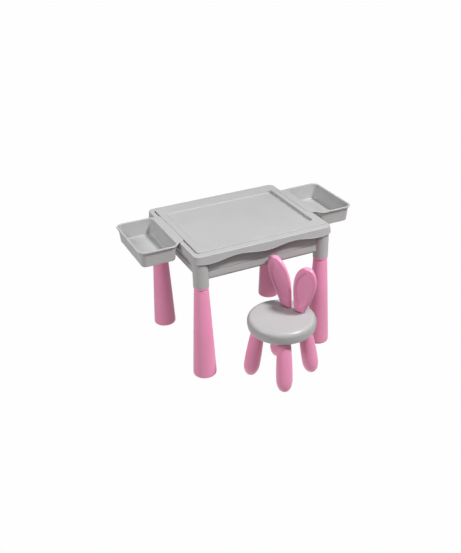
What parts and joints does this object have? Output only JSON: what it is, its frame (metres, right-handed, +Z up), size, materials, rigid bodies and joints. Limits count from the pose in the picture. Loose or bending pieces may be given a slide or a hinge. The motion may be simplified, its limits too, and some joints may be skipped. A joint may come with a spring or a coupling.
{
  "type": "kids table and stool",
  "caption": "Children's activity table with a lift-out board over a storage box, hook-on side trays, and a round stool with an ear-shaped back.",
  "frame": {"origin": "on the floor, under the middle of the whole set's footprint", "axes": "+Z up, +X along the table's long side towards the pen groove, +Y away from the stool"},
  "size_m": [0.8694, 0.7098, 0.5],
  "materials": {
    "grey_plastic": "satin light grey",
    "pink_plastic": "satin pink"
  },
  "bodies": {
    "table": {"top_frame": "grey_plastic", "storage_box": "grey_plastic", "corner_post_front_left": "grey_plastic", "corner_post_front_right": "grey_plastic", "corner_post_back_left": "grey_plastic", "corner_post_back_right": "grey_plastic", "table_leg_front_left": "pink_plastic", "table_leg_front_right": "pink_plastic", "table_leg_back_left": "pink_plastic", "table_leg_back_right": "pink_plastic", "foot_cap_front_left": "pink_plastic", "foot_cap_front_right": "pink_plastic", "foot_cap_back_left": "pink_plastic", "foot_cap_back_right": "pink_plastic"},
    "board": {"tabletop_board": "grey_plastic"},
    "left_tray": {"tray_left": "grey_plastic"},
    "right_tray": {"tray_right": "grey_plastic"},
    "stool": {"seat_top": "grey_plastic", "seat_base": "grey_plastic", "stool_leg_1": "pink_plastic", "stool_leg_2": "pink_plastic", "stool_leg_3": "pink_plastic", "stool_leg_4": "pink_plastic", "ear_left": "pink_plastic", "ear_right": "pink_plastic"}
  },
  "joints": [
    {"name": "board_lift", "type": "slide", "parent": "table", "child": "board", "axis": [0, 0, 1], "range_m": [0, 0.12]},
    {"name": "tray_left_lift", "type": "slide", "parent": "table", "child": "left_tray", "axis": [0, 0, 1], "range_m": [0, 0.09]},
    {"name": "tray_right_lift", "type": "slide", "parent": "table", "child": "right_tray", "axis": [0, 0, 1], "range_m": [0, 0.09]},
    {"name": "stool_slide", "type": "slide", "parent": "table", "child": "stool", "axis": [0, -1, 0], "range_m": [0, 0.3]}
  ]
}
